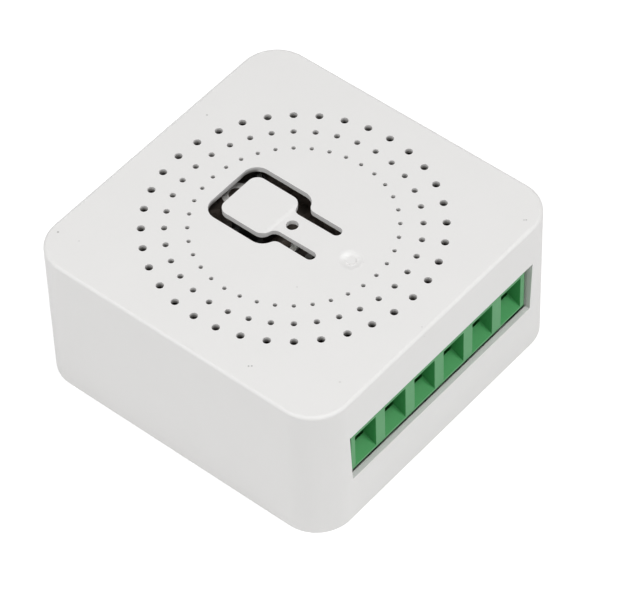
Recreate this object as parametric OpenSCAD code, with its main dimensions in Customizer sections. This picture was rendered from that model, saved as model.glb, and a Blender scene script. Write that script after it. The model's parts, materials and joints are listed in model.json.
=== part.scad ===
// Smart relay module: a small square case with a press key and vent rings on top, a green
// terminal block in its front wall, and the board, relay and supply parts inside.
// The origin is the middle of the underside, +Z is up and the terminal row faces -Y.

/* [Case] */
// Side of the square case
case_side = 41; // [40:0.5:60]
// Radius of the upright corners
corner_r = 4.6; // [2.5:0.1:8]
// Radius of the rounded top edge
edge_r = 0.4; // [0.2:0.05:0.6]
// Thickness of the side walls
wall = 1.1; // [0.9:0.05:1.6]
// Thickness of the top panel
top_t = 0.7; // [0.6:0.05:1.2]
// Diameter of the bosses that the board rests against
boss_d = 2.6; // [2:0.1:4]
// Distance of a boss's middle from the inner walls
boss_inset = 3.3; // [2.5:0.1:5]

/* [Vent rings] */
// Number of rings of holes
vent_rings = 3; // [1:1:3]
// Holes in each ring
vent_count = 36; // [12:1:40]
// Radius of the innermost ring
vent_ring_r = 11.5; // [11.2:0.05:13]
// Radius added by each further ring
vent_ring_step = 2.5; // [1.5:0.1:2.7]
// Hole diameter in the innermost ring
vent_d = 0.5; // [0.4:0.05:1]
// Diameter added by each further ring
vent_d_step = 0.2; // [0:0.05:0.4]

/* [Press key] */
// Width of the key's pad
key_w = 6.5; // [5:0.1:8]
// Length of the key's pad
key_len = 6.6; // [5:0.1:7.5]
// Distance of the pad's middle from the middle of the case
key_y = 4.8; // [4:0.05:5.2]
// Width of the slot round the key
key_gap = 1.25; // [0.6:0.05:1.6]
// Corner radius of the pad
key_corner_r = 1.2; // [0.6:0.1:2]
// Width of the springy neck
neck_w = 3.2; // [2.4:0.05:4.5]
// Length of the neck from the pad to its root
neck_len = 5.65; // [4:0.05:7]
// Radius where the neck meets the pad
neck_fillet_r = 0.9; // [0.4:0.1:1.4]
// Height of the pad's near edge above the neck
key_step = 0.12; // [0.05:0.01:0.25]
// Length of the ramp from the neck up to the pad
key_ramp = 0.35; // [0.1:0.05:0.6]
// Diameter of the indicator hole in the neck
light_hole_d = 1.4; // [0.8:0.1:2]
// Distance from the pad's near edge to the indicator hole
light_hole_back = 1.3; // [1.1:0.1:3]
// Diameter of the nub under the pad
key_nub_d = 2; // [1.4:0.1:2.4]
// Height of the nub under the pad
key_nub_h = 0.35; // [0.2:0.05:1]
// Gap between the nub and the switch's plunger
key_nub_clear = 0.05; // [0.04:0.01:0.1]

/* [Gate mark] */
// Diameter of the shallow moulding mark at the surface
gate_d = 2.8; // [1:0.1:3]
// Depth of the mark
gate_depth = 0.2; // [0.05:0.01:0.3]
// Width of the mark's sloping side
gate_slope = 0.75; // [0.1:0.05:0.8]
// Diameter of the low stub in the mark
gate_stub_d = 1.1; // [0.4:0.1:1.8]
// Height of the low stub
gate_stub_h = 0.12; // [0.02:0.01:0.15]
// Distance of the mark in front of the middle
gate_front = 8; // [7:0.1:9]

/* [Terminal block] */
// Number of poles
pole_count = 6; // [3:1:6]
// Distance between poles
pole_pitch = 5; // [4.8:0.02:5.5]
// Sideways offset of the row
row_offset = 0.1; // [-1:0.05:1]
// Material beyond the outer poles at each end
block_end = 0.1; // [0:0.05:0.5]
// Depth of the block from its nose to its back
block_depth = 8; // [7.8:0.1:9]
// Distance of the nose behind the case's front face
nose_recess = 0.5; // [0:0.05:0.8]
// Distance of the nose's top below the board
nose_drop = 1.4; // [1:0.1:2]
// Step inwards of the nose at each end, inside the window
nose_step = 0.2; // [0.1:0.05:0.4]
// Width of a wire mouth
mouth_w = 3.45; // [2.8:0.05:4]
// Height of a wire mouth
mouth_h = 4.75; // [4:0.05:5]
// Height of the lip under a wire mouth
mouth_sill = 0.25; // [0.2:0.05:0.5]
// Height of the lintel over a wire mouth
mouth_lintel = 0.9; // [0.6:0.05:1.4]
// Width of the throat where the funnel ends
throat_w = 2.9; // [2:0.1:3.4]
// Run of a funnel's floor from the nose to the groove before the clamp
floor_run = 1.6; // [1:0.1:2.2]
// Depth of the groove behind a funnel's floor, below the mouth
throat_drop = 1; // [0:0.1:1.2]
// Room above the nose in the window
window_over = 0.5; // [0.1:0.05:0.8]
// Room under the nose in the window
window_under = 0.65; // [0.1:0.05:1]
// Room beside the block at the foot of the window
window_gap = 0.24; // [0.1:0.02:0.6]
// Widening of the window on each side up to its top
window_draft = 0.32; // [0:0.02:0.6]
// Thickness of the case's wall under the window, thinned from inside
window_rim = 0.65; // [0.5:0.05:0.9]

/* [Clamps] */
// Overhang of a clamp screw's head beyond its thread
screw_rim = 0.25; // [0.2:0.05:0.4]
// Height of a clamp screw's head
screw_head_h = 1.6; // [1.2:0.1:2]
// Diameter of a clamp screw's thread
screw_d = 2.5; // [2:0.1:2.6]
// Width of the cross in the head
screw_cross_w = 0.5; // [0.4:0.05:0.8]
// Depth of the cross in the head
screw_cross_depth = 0.8; // [0.5:0.05:1]
// Thickness of the walls between the clamps' bays
bay_wall = 0.8; // [0.5:0.05:1]
// Depth of a clamp cage
cage_depth = 3.6; // [3:0.1:3.8]
// Thickness of a cage's cheeks
cage_cheek_t = 0.6; // [0.4:0.05:0.7]
// Thickness of the cage's jaw, which presses on the wire
cage_jaw_t = 0.8; // [0.6:0.05:1.2]
// Thickness of the cage's threaded foot
cage_foot_t = 0.95; // [0.8:0.05:1.5]
// Largest wire that an open clamp takes
wire_gap = 2.4; // [1.5:0.1:2.6]
// Travel of a cage from open to shut
cage_travel = 1.8; // [1:0.1:2]
// Thickness of the contact bar in a cage
bar_t = 0.8; // [0.6:0.05:1]
// Width of a solder leg
leg_w = 1; // [0.8:0.05:1.2]
// Thickness of a solder leg
leg_t = 0.8; // [0.5:0.05:0.9]
// Thickness of the shelf that a screw's head bears on
shelf_t = 0.7; // [0.5:0.05:1.2]

/* [Board] */
// Thickness of the main board
board_t = 1.6; // [1:0.1:2]
// Gap between the board's edge and the inner walls
board_edge_gap = 0.4; // [0.2:0.05:0.8]
// Diameter of the round leads
lead_d = 0.6; // [0.4:0.05:0.8]
// Length of the leads above the board
lead_stick = 0.9; // [0.6:0.05:1.4]
// Diameter of a solder joint at the board
solder_d = 1.8; // [1.6:0.1:2.4]
// Height of a solder joint
solder_h = 0.7; // [0.4:0.05:0.8]

/* [Base cover] */
// Thickness of the base plate
base_t = 1.2; // [1:0.1:2]
// Step in the walls that the base seats against
base_rebate = 0.5; // [0.3:0.05:0.6]
// Gap round the base plate
base_clear = 0.1; // [0.05:0.01:0.2]
// Diameter of the posts that carry the board
post_d = 2.4; // [2:0.1:3]
// Distance of the posts behind the middle
post_back = 13; // [12.5:0.1:14]
// Room round a screw's head in its screwdriver hole
access_room = 0.3; // [0.2:0.05:0.4]
// Thickness of the collar round a screwdriver hole
collar_t = 0.6; // [0.4:0.05:0.7]
// Width of a snap hook
hook_w = 5; // [3:0.1:5.4]
// Thickness of a snap hook
hook_t = 1; // [0.8:0.05:1.2]
// Depth of the ledge that a hook grips
ledge_d = 0.65; // [0.4:0.05:0.8]
// Height of the ledge's underside
ledge_z = 3; // [2.5:0.1:4]
// Height of the ledge
ledge_h = 0.8; // [0.6:0.05:1.2]
// Width of the bare label recess
label_w = 24; // [10:1:26]
// Length of the bare label recess
label_len = 14; // [6:1:16]
// Depth of the label recess
label_depth = 0.15; // [0.05:0.05:0.3]
// Distance of the label recess behind the middle
label_back = 4; // [0:0.5:6]

/* [Relay] */
// Length of the relay
relay_len = 18.4; // [18:0.1:19.5]
// Width of the relay
relay_w = 10.2; // [9.8:0.1:11]
// Wall of the relay's case
relay_wall = 0.7; // [0.5:0.05:0.8]
// Thickness of the relay's base
relay_base_t = 1.2; // [1:0.1:1.4]
// Thickness of the iron yoke
yoke_t = 1; // [0.8:0.05:1.2]
// Radius of the bobbin's flanges
bobbin_r = 3.6; // [3.2:0.05:3.8]
// Height of the bobbin
bobbin_h = 6.4; // [5:0.1:8]
// Thickness of a bobbin flange
flange_t = 0.5; // [0.4:0.05:0.8]
// Radius of the iron core
core_r = 1.3; // [1:0.05:1.6]
// Thickness of the armature
armature_t = 0.9; // [0.7:0.05:1]
// Angle of the open armature
armature_open = 3.5; // [2:0.1:4]
// Thickness of the contact spring
spring_t = 0.25; // [0.2:0.01:0.3]
// Radius of the contact buttons
contact_r = 1.4; // [1:0.05:1.6]
// Height of the fixed contact's button
contact_h = 1; // [0.6:0.05:1.2]
// Thickness of the contact blades
blade_t = 0.6; // [0.4:0.05:0.7]
// Distance of the contacts from the inside of the relay's end
contact_inset = 3; // [2.4:0.1:3.5]

/* [Key switch] */
// Side of the switch body
switch_side = 4.5; // [4:0.1:5]
// Height of the switch body
switch_h = 1.5; // [1.4:0.05:1.5]
// Thickness of the metal frame on the switch
switch_frame_t = 0.2; // [0.15:0.01:0.25]
// Diameter of the plunger
plunger_d = 2.4; // [1.6:0.1:2.6]
// Height of the plunger above the frame
plunger_rise = 0.5; // [0.4:0.05:0.6]
// Diameter of the plunger's retaining flange
plunger_flange_d = 2.9; // [2.8:0.05:3.2]
// Travel of the plunger
press_travel = 0.25; // [0.15:0.01:0.28]

/* [Supply and radio] */
// Gap between neighbouring components
part_gap = 0.8; // [0.4:0.05:0.9]
// Diameter of the input capacitor
input_cap_d = 6.3; // [5:0.1:6.8]
// Diameter of the output capacitor
output_cap_d = 5; // [4:0.1:5.5]
// Height of the capacitors
cap_h = 11; // [7:0.5:12]
// Length of the film capacitor
film_len = 10; // [9.5:0.1:10.5]
// Width of the film capacitor
film_w = 4; // [3:0.1:4.5]
// Height of the film capacitor
film_h = 8; // [5:0.5:10]
// Diameter of the surge varistor
varistor_d = 7; // [5:0.1:8]
// Thickness of the surge varistor
varistor_t = 3.6; // [3:0.1:4]
// Length of the fuse resistor
fuse_len = 7.6; // [6:0.1:7.8]
// Diameter of the fuse resistor
fuse_d = 3; // [2:0.1:3.4]
// Diameter of the choke
choke_d = 6; // [5.8:0.1:6.4]
// Height of the choke
choke_h = 7; // [5:0.5:9]
// Width of the rectifier
rectifier_w = 4.7; // [4:0.1:5]
// Height of the rectifier
rectifier_h = 2.4; // [1.5:0.1:3]
// Width of the converter chip
chip_w = 4.9; // [4:0.1:5.2]
// Height of the converter chip
chip_h = 1.5; // [1:0.1:2]
// Room between the converter chip and the terminal block
chip_front_gap = 2.4; // [0.8:0.1:3]
// Room between the radio board and the snap hook beside it
radio_side_gap = 1.95; // [0.5:0.05:3]
// Room between the radio board and the terminal block
radio_front_gap = 2.2; // [0.8:0.1:3]
// Thickness of the radio board
radio_t = 0.8; // [0.6:0.1:1.2]
// Width of the bare rim beside the radio's shield
shield_rim = 1.4; // [0.6:0.1:3]
// Length of the bare rim in front of the radio's shield
shield_front = 0.8; // [0.4:0.1:2]
// Length of the aerial end of the radio board, behind its shield
aerial_len = 4.7; // [3:0.1:6]
// Height of the radio's shield
shield_h = 2; // [1:0.1:3]
// Length of the indicator light
light_len = 1.6; // [1.2:0.1:2]
// Width of the indicator light
light_w = 0.8; // [0.6:0.1:1.2]
// Height of the indicator light with its lens
light_h = 0.6; // [0.5:0.05:1]
// Distance of the indicator light in front of its hole
light_front = 0.5; // [0:0.05:0.6]

/* [Hidden] */
$fn = 96;
over = 0.5;
arc_steps = 8;

// Clearances
seam_clear = 0.02;
slide_clear = 0.15;
thread_clear = 0.03;
bar_clear = 0.05;
rest_clear = 0.1;
hole_clear = 0.15;
wall_clear = 0.2;

// Relay, in its own frame with the solder side at zero
yoke_room = 0.25;
yoke_x = -relay_len / 2 + relay_wall + yoke_room;
yoke_w = 6.2;
coil_x = yoke_x + yoke_t + wall_clear + bobbin_r;
coil_z = relay_base_t + yoke_t;
pole_head_t = 0.5;
pole_z = coil_z + bobbin_h;
hinge_x = yoke_x + yoke_t / 2;
hinge_z = pole_z + pole_head_t + bar_clear;
contact_x = relay_len / 2 - relay_wall - contact_inset;
contact_dip = 0.25;
contact_z = hinge_z - contact_dip;
spring_margin = 0.4;
spring_end = contact_x + contact_r + spring_margin;
spring_lift = (spring_end - hinge_x) * sin(armature_open);
spring_room = 0.35;
relay_h = hinge_z + armature_t + spring_t + spring_lift + spring_room + relay_wall;
blade_x = relay_len / 2 - relay_wall - wall_clear - blade_t;
blade_w = 3;
pin_w = 1.2;
pin_reach = board_t + lead_stick;
coil_pin_reach = 2.2;
coil_pin_x = coil_x + coil_pin_reach;
coil_pin_inset = 0.7;
coil_pin_y = relay_w / 2 - relay_wall - coil_pin_inset;
relay_corner_r = 0.8;
bobbin_wall = 0.4;
winding_inset = 0.3;

// Clamps
cage_w = pole_pitch - bay_wall - 2 * slide_clear;
cage_h = cage_foot_t + bar_clear + bar_t + wire_gap + cage_jaw_t;
bar_w = cage_w - 2 * cage_cheek_t - 2 * slide_clear;
screw_head_d = screw_d + 2 * screw_rim;
access_d = screw_head_d + 2 * access_room;

// Heights, from the top panel down to the base
block_head_room = 1.6;
block_h = block_head_room + cage_h + cage_travel + wall_clear + shelf_t + screw_head_h + rest_clear;
floor_gap = 0.9;
deck_gap = 2.2;
varistor_drop = 0.4;
tallest_part = max(relay_h, cap_h, film_h, choke_h, varistor_d + varistor_drop, radio_t + shield_h);
under_room = max(tallest_part + floor_gap, block_h + deck_gap);
switch_room = switch_h + switch_frame_t + plunger_rise + key_nub_clear + key_nub_h;
case_h = base_t + under_room + board_t + switch_room + top_t;
panel_z = case_h - top_t;
board_top = panel_z - switch_room;
board_z = board_top - board_t;

// Plan of the case
inner_side = case_side - 2 * wall;
inner_r = corner_r - wall;
boss_at = inner_side / 2 - boss_inset;
hook_turns = [0, 90, 180];
post_gap = 0.5;

// Press key
pad_near = key_y - key_len / 2;
root_y = pad_near - neck_len;
light_y = pad_near - light_hole_back;
light_mid_y = light_y - light_front;

// Terminal block and clamps
poles = [1 : pole_count];
block_len = pole_count * pole_pitch + 2 * block_end;
front_y = -case_side / 2;
nose_y = front_y + nose_recess;
block_back = nose_y + block_depth;
shoulder_gap = 0.4;
rim_relief = 1.2;
shoulder_y = front_y + wall + shoulder_gap;
nose_top = board_z - nose_drop;
nose_z = nose_top - mouth_lintel - mouth_h - mouth_sill;
deck_z = board_z - block_h;
pin_back_wall = 0.2;
leg_y = block_back - pin_back_wall - leg_t;
cage_bay_d = cage_depth + 2 * wall_clear;
bay_y = leg_y - bar_clear - cage_bay_d;
screw_y = bay_y + cage_bay_d / 2;
deck_rim = 0.9;
deck_front = screw_y - screw_head_d / 2 - deck_rim;
nose_run = 1.2;
nose_fall = 1.7;
roof_run = 1.5;
cross_share = 0.75;
head_z = deck_z + rest_clear;
shelf_z = head_z + screw_head_h;
bay_z = shelf_z + shelf_t;
cage_z = board_z - block_head_room - cage_h;
bar_z = cage_z + cage_foot_t + bar_clear;
jaw_z = cage_z + cage_h - cage_jaw_t;

// Place of the relay, between the left post and the back hook
relay_side_gap = 0.4;
relay_back_gap = 0.85;
hook_face = inner_side / 2 - ledge_d - rest_clear;
relay_x0 = -inner_side / 2 + post_gap + post_d + relay_side_gap;
relay_y1 = hook_face - hook_t - relay_back_gap;
relay_y0 = relay_y1 - relay_w;
relay_middle = [relay_x0 + relay_len / 2, relay_y1 - relay_w / 2];

// Key switch, from its plunger's flange down to the floor of its well
plunger_flange_t = 0.3;
dome_h = 0.2;
flange_z = board_top + switch_h - bar_clear - plunger_flange_t;
well_z = flange_z - press_travel - rest_clear - dome_h;

// Supply and radio parts, laid out in columns behind the terminal block
column_a = relay_x0;
column_b = column_a + film_len + part_gap;
column_c = column_b + choke_d + part_gap;
film_y = relay_y0 - part_gap - film_w;
varistor_y = film_y - part_gap - varistor_t;
fuse_y = varistor_y - part_gap - fuse_d;
choke_y = relay_y0 - part_gap - choke_d;
chip_y = block_back + chip_front_gap;
chip_len = (choke_y - 2 * part_gap - chip_y) / 2;
rectifier_y = chip_y + chip_len + part_gap;
cap_overlap = 0.6;
cap_y = relay_y0 + input_cap_d / 2 - cap_overlap;
radio_y = block_back + radio_front_gap;
radio_len = cap_y - input_cap_d / 2 - part_gap - radio_y;
radio_w = hook_face - hook_t - radio_side_gap - column_c;
shield_w = radio_w - 2 * shield_rim;
shield_len = radio_len - shield_front - aerial_len;
input_cap_x = relay_x0 + relay_len + part_gap + input_cap_d / 2;
output_cap_x = input_cap_x + input_cap_d / 2 + part_gap + output_cap_d / 2;
varistor_z = board_z - varistor_drop - varistor_d / 2;
fuse_z = board_z - wall_clear - fuse_d / 2;
fuse_bend = 0.8;
fuse_cap_share = 0.2;
fuse_waist_share = 0.27;
fuse_waist_r = fuse_d * 0.44;
can_edge = 0.3;
can_groove = 1.5;
choke_inset = 0.25;
chip_leg_w = 0.4;
chip_leg_t = 0.2;
chip_leg_count = 4;
rectifier_leg_count = 2;
switch_lead = [0.8, 0.7, 0.2];
switch_lead_share = 0.36;
lens_share = 0.6;

// Leads through the board: x, y and the height where each one starts
varistor_lead_share = 0.36;
film_lead_share = 0.375;
varistor_lead_x = varistor_d * varistor_lead_share;
varistor_lead_z = varistor_z + sqrt(pow(varistor_d / 2, 2) - pow(varistor_lead_x - lead_d / 2, 2));
leads = concat(
    [for (s = [-1, 1]) [input_cap_x + s * input_cap_d / 5, cap_y, board_z]],
    [for (s = [-1, 1]) [output_cap_x + s * output_cap_d / 5, cap_y, board_z]],
    [for (s = [-1, 1]) [column_a + film_len / 2 + s * film_len * film_lead_share,
        film_y + film_w / 2, board_z]],
    [for (s = [-1, 1]) [column_a + varistor_d / 2 + s * varistor_lead_x, varistor_y + varistor_t / 2,
        varistor_lead_z]],
    [for (s = [-1, 1]) [column_a + fuse_bend + fuse_len / 2 + s * (fuse_len / 2 + fuse_bend),
        fuse_y + fuse_d / 2, fuse_z]]
);
relay_blades = [
    [relay_middle[0] + blade_x + blade_t / 2, relay_middle[1]],
    [relay_middle[0] + yoke_x + blade_t / 2, relay_middle[1]]
];
coil_pins = [for (s = [-1, 1]) [relay_middle[0] + coil_pin_x, relay_middle[1] + s * coil_pin_y]];

// Middles of the small parts on the board's upper side
chip_part_size = [1.6, 0.8, 0.5];
chip_part_step = [3, 2];
chip_part_front = 2.7;
chip_parts_at = concat(
    [[0, light_y - chip_part_front]],
    [for (column = [1 : 3], row = [1 : 2])
        [column * chip_part_step[0], block_back + row * chip_part_step[1]]]
);

// Shapes that several pieces share

function pole_x(i) = row_offset + (i - (pole_count + 1) / 2) * pole_pitch;

// An upright slab with four rounded corners, standing on zero
module rounded_slab(w, d, r, h) {
    translate([-w / 2, r - d / 2, 0]) cube([w, d - 2 * r, h]);
    translate([r - w / 2, -d / 2, 0]) cube([w - 2 * r, d, h]);
    for (turn = [0 : 90 : 270]) {
        sx = turn == 0 || turn == 270 ? 1 : -1;
        sy = turn < 180 ? 1 : -1;
        translate([sx * (w / 2 - r), sy * (d / 2 - r), 0])
            rotate(turn)
                rotate_extrude(angle = 90)
                    square([r, h]);
    }
}

// A wall's section from a corner's middle outwards, with its top outer edge rounded
module wall_section() {
    polygon(concat(
        [[0, 0], [corner_r, 0]],
        [for (a = [0 : 90 / arc_steps : 90])
            [corner_r - edge_r + edge_r * cos(a), case_h - edge_r + edge_r * sin(a)]],
        [[0, case_h]]
    ));
}

// The case's outside as one solid block
module case_block() {
    flat = case_side - 2 * corner_r;
    translate([-flat / 2, -flat / 2, 0]) cube([flat, flat, case_h]);
    for (turn = [0 : 90 : 270]) {
        rotate(turn)
            translate([flat / 2, 0, 0])
                rotate([90, 0, 0])
                    linear_extrude(flat, center = true)
                        wall_section();
        rotate(turn)
            translate([flat / 2, flat / 2, 0])
                rotate_extrude(angle = 90)
                    wall_section();
    }
}

// Rounds a flat shape's outer corners by one radius and its inner corners by another
module softened(outer_r, inner_r) {
    offset(r = -inner_r) offset(delta = inner_r)
        offset(r = outer_r) offset(delta = -outer_r)
            children();
}

// The pad and neck in plan, grown by a margin, from the neck's root to the pad's far edge
module tongue_plan(margin, outer_r) {
    intersection() {
        softened(outer_r, neck_fillet_r) {
            translate([0, key_y]) square([key_w + 2 * margin, key_len + 2 * margin], center = true);
            translate([-neck_w / 2 - margin, root_y - neck_len])
                square([neck_w + 2 * margin, 2 * neck_len + margin]);
        }
        translate([-case_side / 2, root_y]) square(case_side);
    }
}

// A shape drawn in Y and Z, extruded along X about the middle of the terminal row
module along_row(length) {
    rotate([90, 0, 90]) linear_extrude(length, center = true) children();
}

// A block given by its two corners
module span(low, high) {
    translate(low) cube(high - low);
}

// Puts a shape from the relay's frame under the board, with its solder side against it
module in_relay() {
    translate([relay_middle[0], relay_middle[1], board_z]) rotate([180, 0, 0]) children();
}

// Tilts a shape with the open armature about the edge of the yoke
module with_armature() {
    translate([hinge_x, 0, hinge_z])
        rotate([0, -armature_open, 0])
            translate([-hinge_x, 0, -hinge_z])
                children();
}

// Case and key

module vent_holes() {
    for (ring = [0 : vent_rings - 1], k = [0 : vent_count - 1]) {
        rotate(k * 360 / vent_count)
            translate([vent_ring_r + ring * vent_ring_step, 0, panel_z - over])
                cylinder(d = vent_d + ring * vent_d_step, h = top_t + 2 * over);
    }
}

module key_opening() {
    translate([0, 0, panel_z - over]) linear_extrude(top_t + 2 * over) {
        tongue_plan(key_gap, key_corner_r + key_gap / 2);
        for (s = [-1, 1]) translate([s * (neck_w + key_gap) / 2, root_y]) circle(d = key_gap);
    }
}

module terminal_window() {
    foot = block_len / 2 + window_gap;
    head = foot + window_draft;
    sill = nose_z - window_under;
    translate([row_offset, front_y - over, 0])
        rotate([-90, 0, 0])
            linear_extrude(wall + 2 * over)
                mirror([0, 1])
                    polygon([
                        [-foot, sill],
                        [foot, sill],
                        [head, nose_top + window_over],
                        [-head, nose_top + window_over]
                    ]);
    translate([row_offset, 0, 0])
        span([-foot, front_y + window_rim, sill - rim_relief],
            [foot, front_y + wall + over, nose_top + window_over]);
}

module snap_ledges() {
    for (turn = hook_turns) rotate(turn) translate([inner_side / 2, 0, ledge_z])
        rotate([90, 0, 0]) linear_extrude(hook_w + 2 * over, center = true)
            polygon([[0, -ledge_d], [-ledge_d, 0], [-ledge_d, ledge_h], [0, ledge_h]]);
}

module upper_case() {
    color([0.90, 0.90, 0.89]) {
        difference() {
            case_block();
            translate([0, 0, base_t]) rounded_slab(inner_side, inner_side, inner_r, panel_z - base_t);
            translate([0, 0, -over])
                rounded_slab(inner_side + 2 * base_rebate, inner_side + 2 * base_rebate,
                    inner_r + base_rebate, base_t + over);
            vent_holes();
            key_opening();
            terminal_window();
            translate([0, -gate_front, case_h - gate_depth]) {
                cylinder(d1 = gate_d - 2 * gate_slope, d2 = gate_d, h = gate_depth);
                translate([0, 0, gate_depth]) cylinder(d = gate_d, h = over);
            }
        }
        translate([0, -gate_front, case_h - gate_depth]) cylinder(d = gate_stub_d, h = gate_stub_h);
        snap_ledges();
        for (x = [-boss_at, boss_at], y = [-boss_at, boss_at])
            translate([x, y, board_top]) cylinder(d = boss_d, h = switch_room);
    }
}

module push_key() {
    color([0.90, 0.90, 0.89])
        difference() {
            union() {
                translate([0, 0, panel_z])
                    linear_extrude(top_t)
                        intersection() {
                            tongue_plan(0, key_corner_r);
                            translate([-key_w, root_y + seam_clear]) square([2 * key_w, case_side]);
                        }
                translate([0, key_y, panel_z - key_nub_h]) cylinder(d = key_nub_d, h = key_nub_h);
            }
            along_row(2 * key_w)
                polygon([
                    [root_y, case_h],
                    [pad_near, case_h - key_step],
                    [pad_near + key_ramp, case_h],
                    [pad_near + key_ramp, case_h + over],
                    [root_y, case_h + over]
                ]);
            translate([0, light_y, panel_z - over]) cylinder(d = light_hole_d, h = top_t + 2 * over);
        }
}

// Base cover

module snap_hook() {
    grip = ledge_z + ledge_h + rest_clear;
    barb = ledge_d - bar_clear;
    rotate([90, 0, 0])
        linear_extrude(hook_w, center = true)
            polygon([
                [hook_face - hook_t, base_t],
                [hook_face, base_t],
                [hook_face, grip],
                [hook_face + barb, grip],
                [hook_face, grip + 2 * barb],
                [hook_face - hook_t, grip + 2 * barb]
            ]);
}

module base_cover() {
    side = inner_side + 2 * base_rebate - 2 * base_clear;
    collar_top = deck_z - rest_clear;
    color([0.88, 0.88, 0.87])
        difference() {
            union() {
                rounded_slab(side, side, inner_r + base_rebate - base_clear, base_t);
                for (turn = hook_turns) rotate(turn) snap_hook();
                for (s = [-1, 1])
                    translate([s * (inner_side / 2 - post_gap - post_d / 2), post_back, 0])
                        cylinder(d = post_d, h = board_z);
                for (i = poles)
                    translate([pole_x(i), screw_y, 0])
                        cylinder(d = access_d + 2 * collar_t, h = collar_top);
            }
            for (i = poles)
                translate([pole_x(i), screw_y, -over])
                    cylinder(d = access_d, h = collar_top + 2 * over);
            translate([-label_w / 2, label_back - label_len / 2, -over])
                cube([label_w, label_len, label_depth + over]);
        }
}

// Board, leads and solder

module main_board() {
    side = inner_side - 2 * board_edge_gap;
    color([0.07, 0.07, 0.07])
        difference() {
            translate([0, 0, board_z]) rounded_slab(side, side, inner_r - board_edge_gap, board_t);
            for (p = leads) lead_hole(p, lead_d / 2 + hole_clear);
            for (p = coil_pins) lead_hole(p, lead_d / 2 + hole_clear);
            for (p = relay_blades) lead_hole(p, pin_w / 2 + hole_clear);
            for (i = poles)
                lead_hole([pole_x(i), leg_y + leg_t / 2], norm([leg_w, leg_t]) / 2 + hole_clear);
        }
}

module lead_hole(p, r) {
    translate([p[0], p[1], board_z - over]) cylinder(r = r, h = board_t + 2 * over);
}

module component_leads() {
    color([0.75, 0.75, 0.73]) {
        for (p = leads)
            translate(p) cylinder(d = lead_d, h = board_top + lead_stick - p[2]);
        for (s = [-1, 1])
            translate([column_a + fuse_bend + fuse_len / 2 + s * fuse_len / 2, fuse_y + fuse_d / 2, fuse_z])
                rotate([0, s * 90, 0])
                    cylinder(d = lead_d, h = fuse_bend);
    }
}

module solder_cone(p) {
    translate([p[0], p[1], board_top]) cylinder(d1 = solder_d, d2 = solder_d / 2, h = solder_h);
}

module solder_joints() {
    color([0.78, 0.78, 0.76]) {
        for (p = concat(leads, coil_pins))
            difference() {
                solder_cone(p);
                translate([p[0], p[1], board_top - over]) cylinder(d = lead_d, h = solder_h + 2 * over);
            }
        for (p = relay_blades)
            difference() {
                solder_cone(p);
                translate([p[0], p[1], board_top]) cube([blade_t, pin_w, 4 * solder_h], center = true);
            }
        for (i = poles)
            difference() {
                solder_cone([pole_x(i), leg_y + leg_t / 2]);
                translate([pole_x(i), leg_y + leg_t / 2, board_top])
                    cube([leg_w, leg_t, 4 * solder_h], center = true);
            }
    }
}

module chip_parts() {
    color([0.55, 0.5, 0.42])
        for (p = chip_parts_at)
            translate([p[0], p[1], board_top + chip_part_size[2] / 2]) cube(chip_part_size, center = true);
}

// Terminal block

module block_body() {
    along_row(block_len)
        polygon([
            [nose_y, nose_z],
            [deck_front - nose_run, nose_z],
            [deck_front, nose_z - nose_fall],
            [deck_front, deck_z],
            [block_back, deck_z],
            [block_back, board_z],
            [shoulder_y, board_z],
            [shoulder_y, nose_top],
            [nose_y, nose_top]
        ]);
}

// The funnel that leads a wire up to the contact bar: its side view cut by its plan
module wire_funnel() {
    mouth_z = nose_z + mouth_sill;
    floor_slope = (bar_z + bar_t - mouth_z) / (bay_y - nose_y);
    intersection() {
        along_row(mouth_w)
            polygon([
                [nose_y - over, mouth_z],
                [nose_y, mouth_z],
                [nose_y + floor_run, mouth_z + floor_run * floor_slope],
                [nose_y + floor_run, mouth_z - throat_drop],
                [bay_y + over, mouth_z - throat_drop],
                [bay_y + over, jaw_z],
                [bay_y - roof_run, jaw_z],
                [nose_y, mouth_z + mouth_h],
                [nose_y - over, mouth_z + mouth_h]
            ]);
        translate([0, 0, deck_z])
            linear_extrude(block_h)
                polygon([
                    [-mouth_w / 2, nose_y - over],
                    [mouth_w / 2, nose_y - over],
                    [mouth_w / 2, nose_y],
                    [throat_w / 2, bay_y],
                    [throat_w / 2, bay_y + over],
                    [-throat_w / 2, bay_y + over],
                    [-throat_w / 2, bay_y],
                    [-mouth_w / 2, nose_y]
                ]);
    }
}

module terminal_housing() {
    bay_w = cage_w + 2 * slide_clear;
    color([0.38, 0.66, 0.44])
        difference() {
            translate([row_offset, 0, 0]) block_body();
            for (s = [-1, 1])
                translate([row_offset + s * block_len / 2, nose_y, board_z / 2])
                    cube([2 * nose_step, 2 * (wall - nose_recess), board_z], center = true);
            for (i = poles) translate([pole_x(i), 0, 0]) {
                wire_funnel();
                translate([-bay_w / 2, bay_y, bay_z]) cube([bay_w, leg_y - bay_y, block_h]);
                translate([0, screw_y, deck_z]) cylinder(d = screw_d + 2 * rest_clear, h = block_h / 2);
                translate([0, screw_y, deck_z - over])
                    cylinder(d = screw_head_d + 2 * slide_clear, h = shelf_z - deck_z + over);
                translate([-leg_w / 2 - rest_clear, leg_y - over, bar_z - rest_clear])
                    cube([leg_w + 2 * rest_clear, leg_t + over + bar_clear, block_h]);
            }
        }
}

module terminal_pins() {
    color([0.80, 0.78, 0.72])
        for (i = poles) translate([pole_x(i), 0, 0]) {
            span([-bar_w / 2, bay_y + rest_clear, bar_z], [bar_w / 2, leg_y, bar_z + bar_t]);
            span([-leg_w / 2, leg_y, bar_z], [leg_w / 2, leg_y + leg_t, board_top + lead_stick]);
        }
}

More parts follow.
